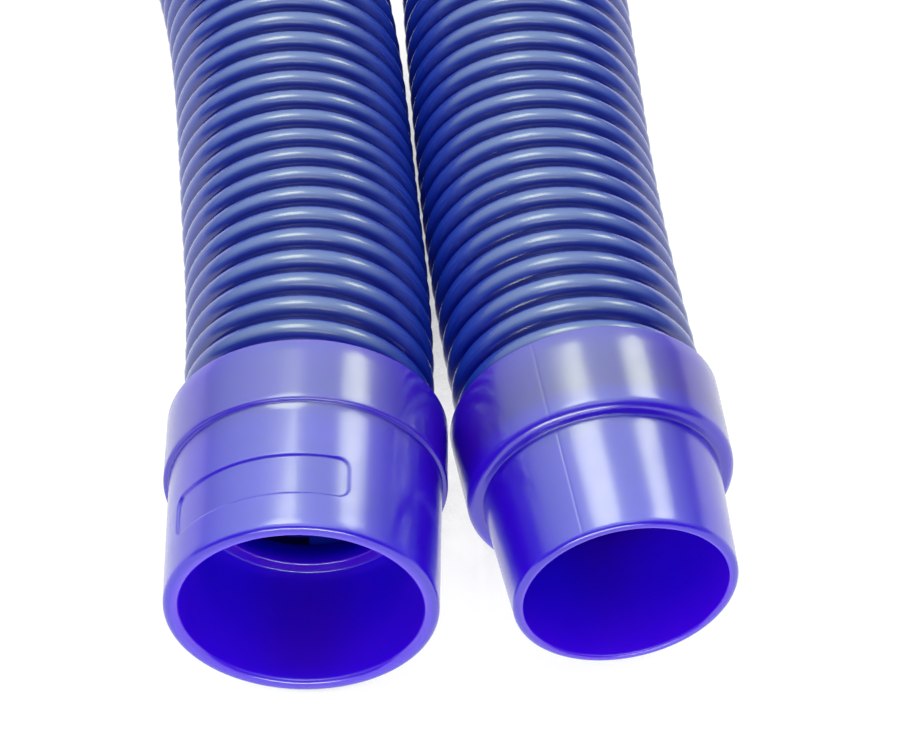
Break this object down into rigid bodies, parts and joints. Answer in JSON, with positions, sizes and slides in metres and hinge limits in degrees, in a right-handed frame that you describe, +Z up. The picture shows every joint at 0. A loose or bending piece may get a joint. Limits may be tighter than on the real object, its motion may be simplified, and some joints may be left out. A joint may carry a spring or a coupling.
{
  "type": "pool vacuum hose section",
  "caption": "Short spiral-corrugated vacuum hose with a socket cuff at one end and a spigot cuff at the other, lying in a loop with both ends side by side.",
  "frame": {"origin": "on the table, at the middle of the box around the two cuffs", "axes": "+Z up, the mouths of both cuffs face -Y, the socket cuff is on the -X side and the hose runs away along +Y"},
  "size_m": [0.4051, 0.6504, 0.0525],
  "materials": {
    "cuff": "glossy moulded blue plastic",
    "hose": "satin spiral-wound blue plastic"
  },
  "bodies": {
    "loop": {"hose_loop": "hose", "hose_female_bend": "hose", "hose_male_bend": "hose"},
    "female_end": {"female_cuff": "cuff", "hose_female_leg": "hose"},
    "male_end": {"male_cuff": "cuff", "hose_male_leg": "hose"}
  },
  "joints": [
    {"name": "female_end_swing", "type": "hinge", "parent": "loop", "child": "female_end", "pos_m": [-0.2042, 0.33617, 0.0239], "axis": [0, 0, -1], "range_deg": [0, 30], "deforming": ["hose_female_bend"]},
    {"name": "male_end_swing", "type": "hinge", "parent": "loop", "child": "male_end", "pos_m": [0.12522, 0.37596, 0.0239], "axis": [0, 0, 1], "range_deg": [0, 30], "deforming": ["hose_male_bend"]}
  ]
}
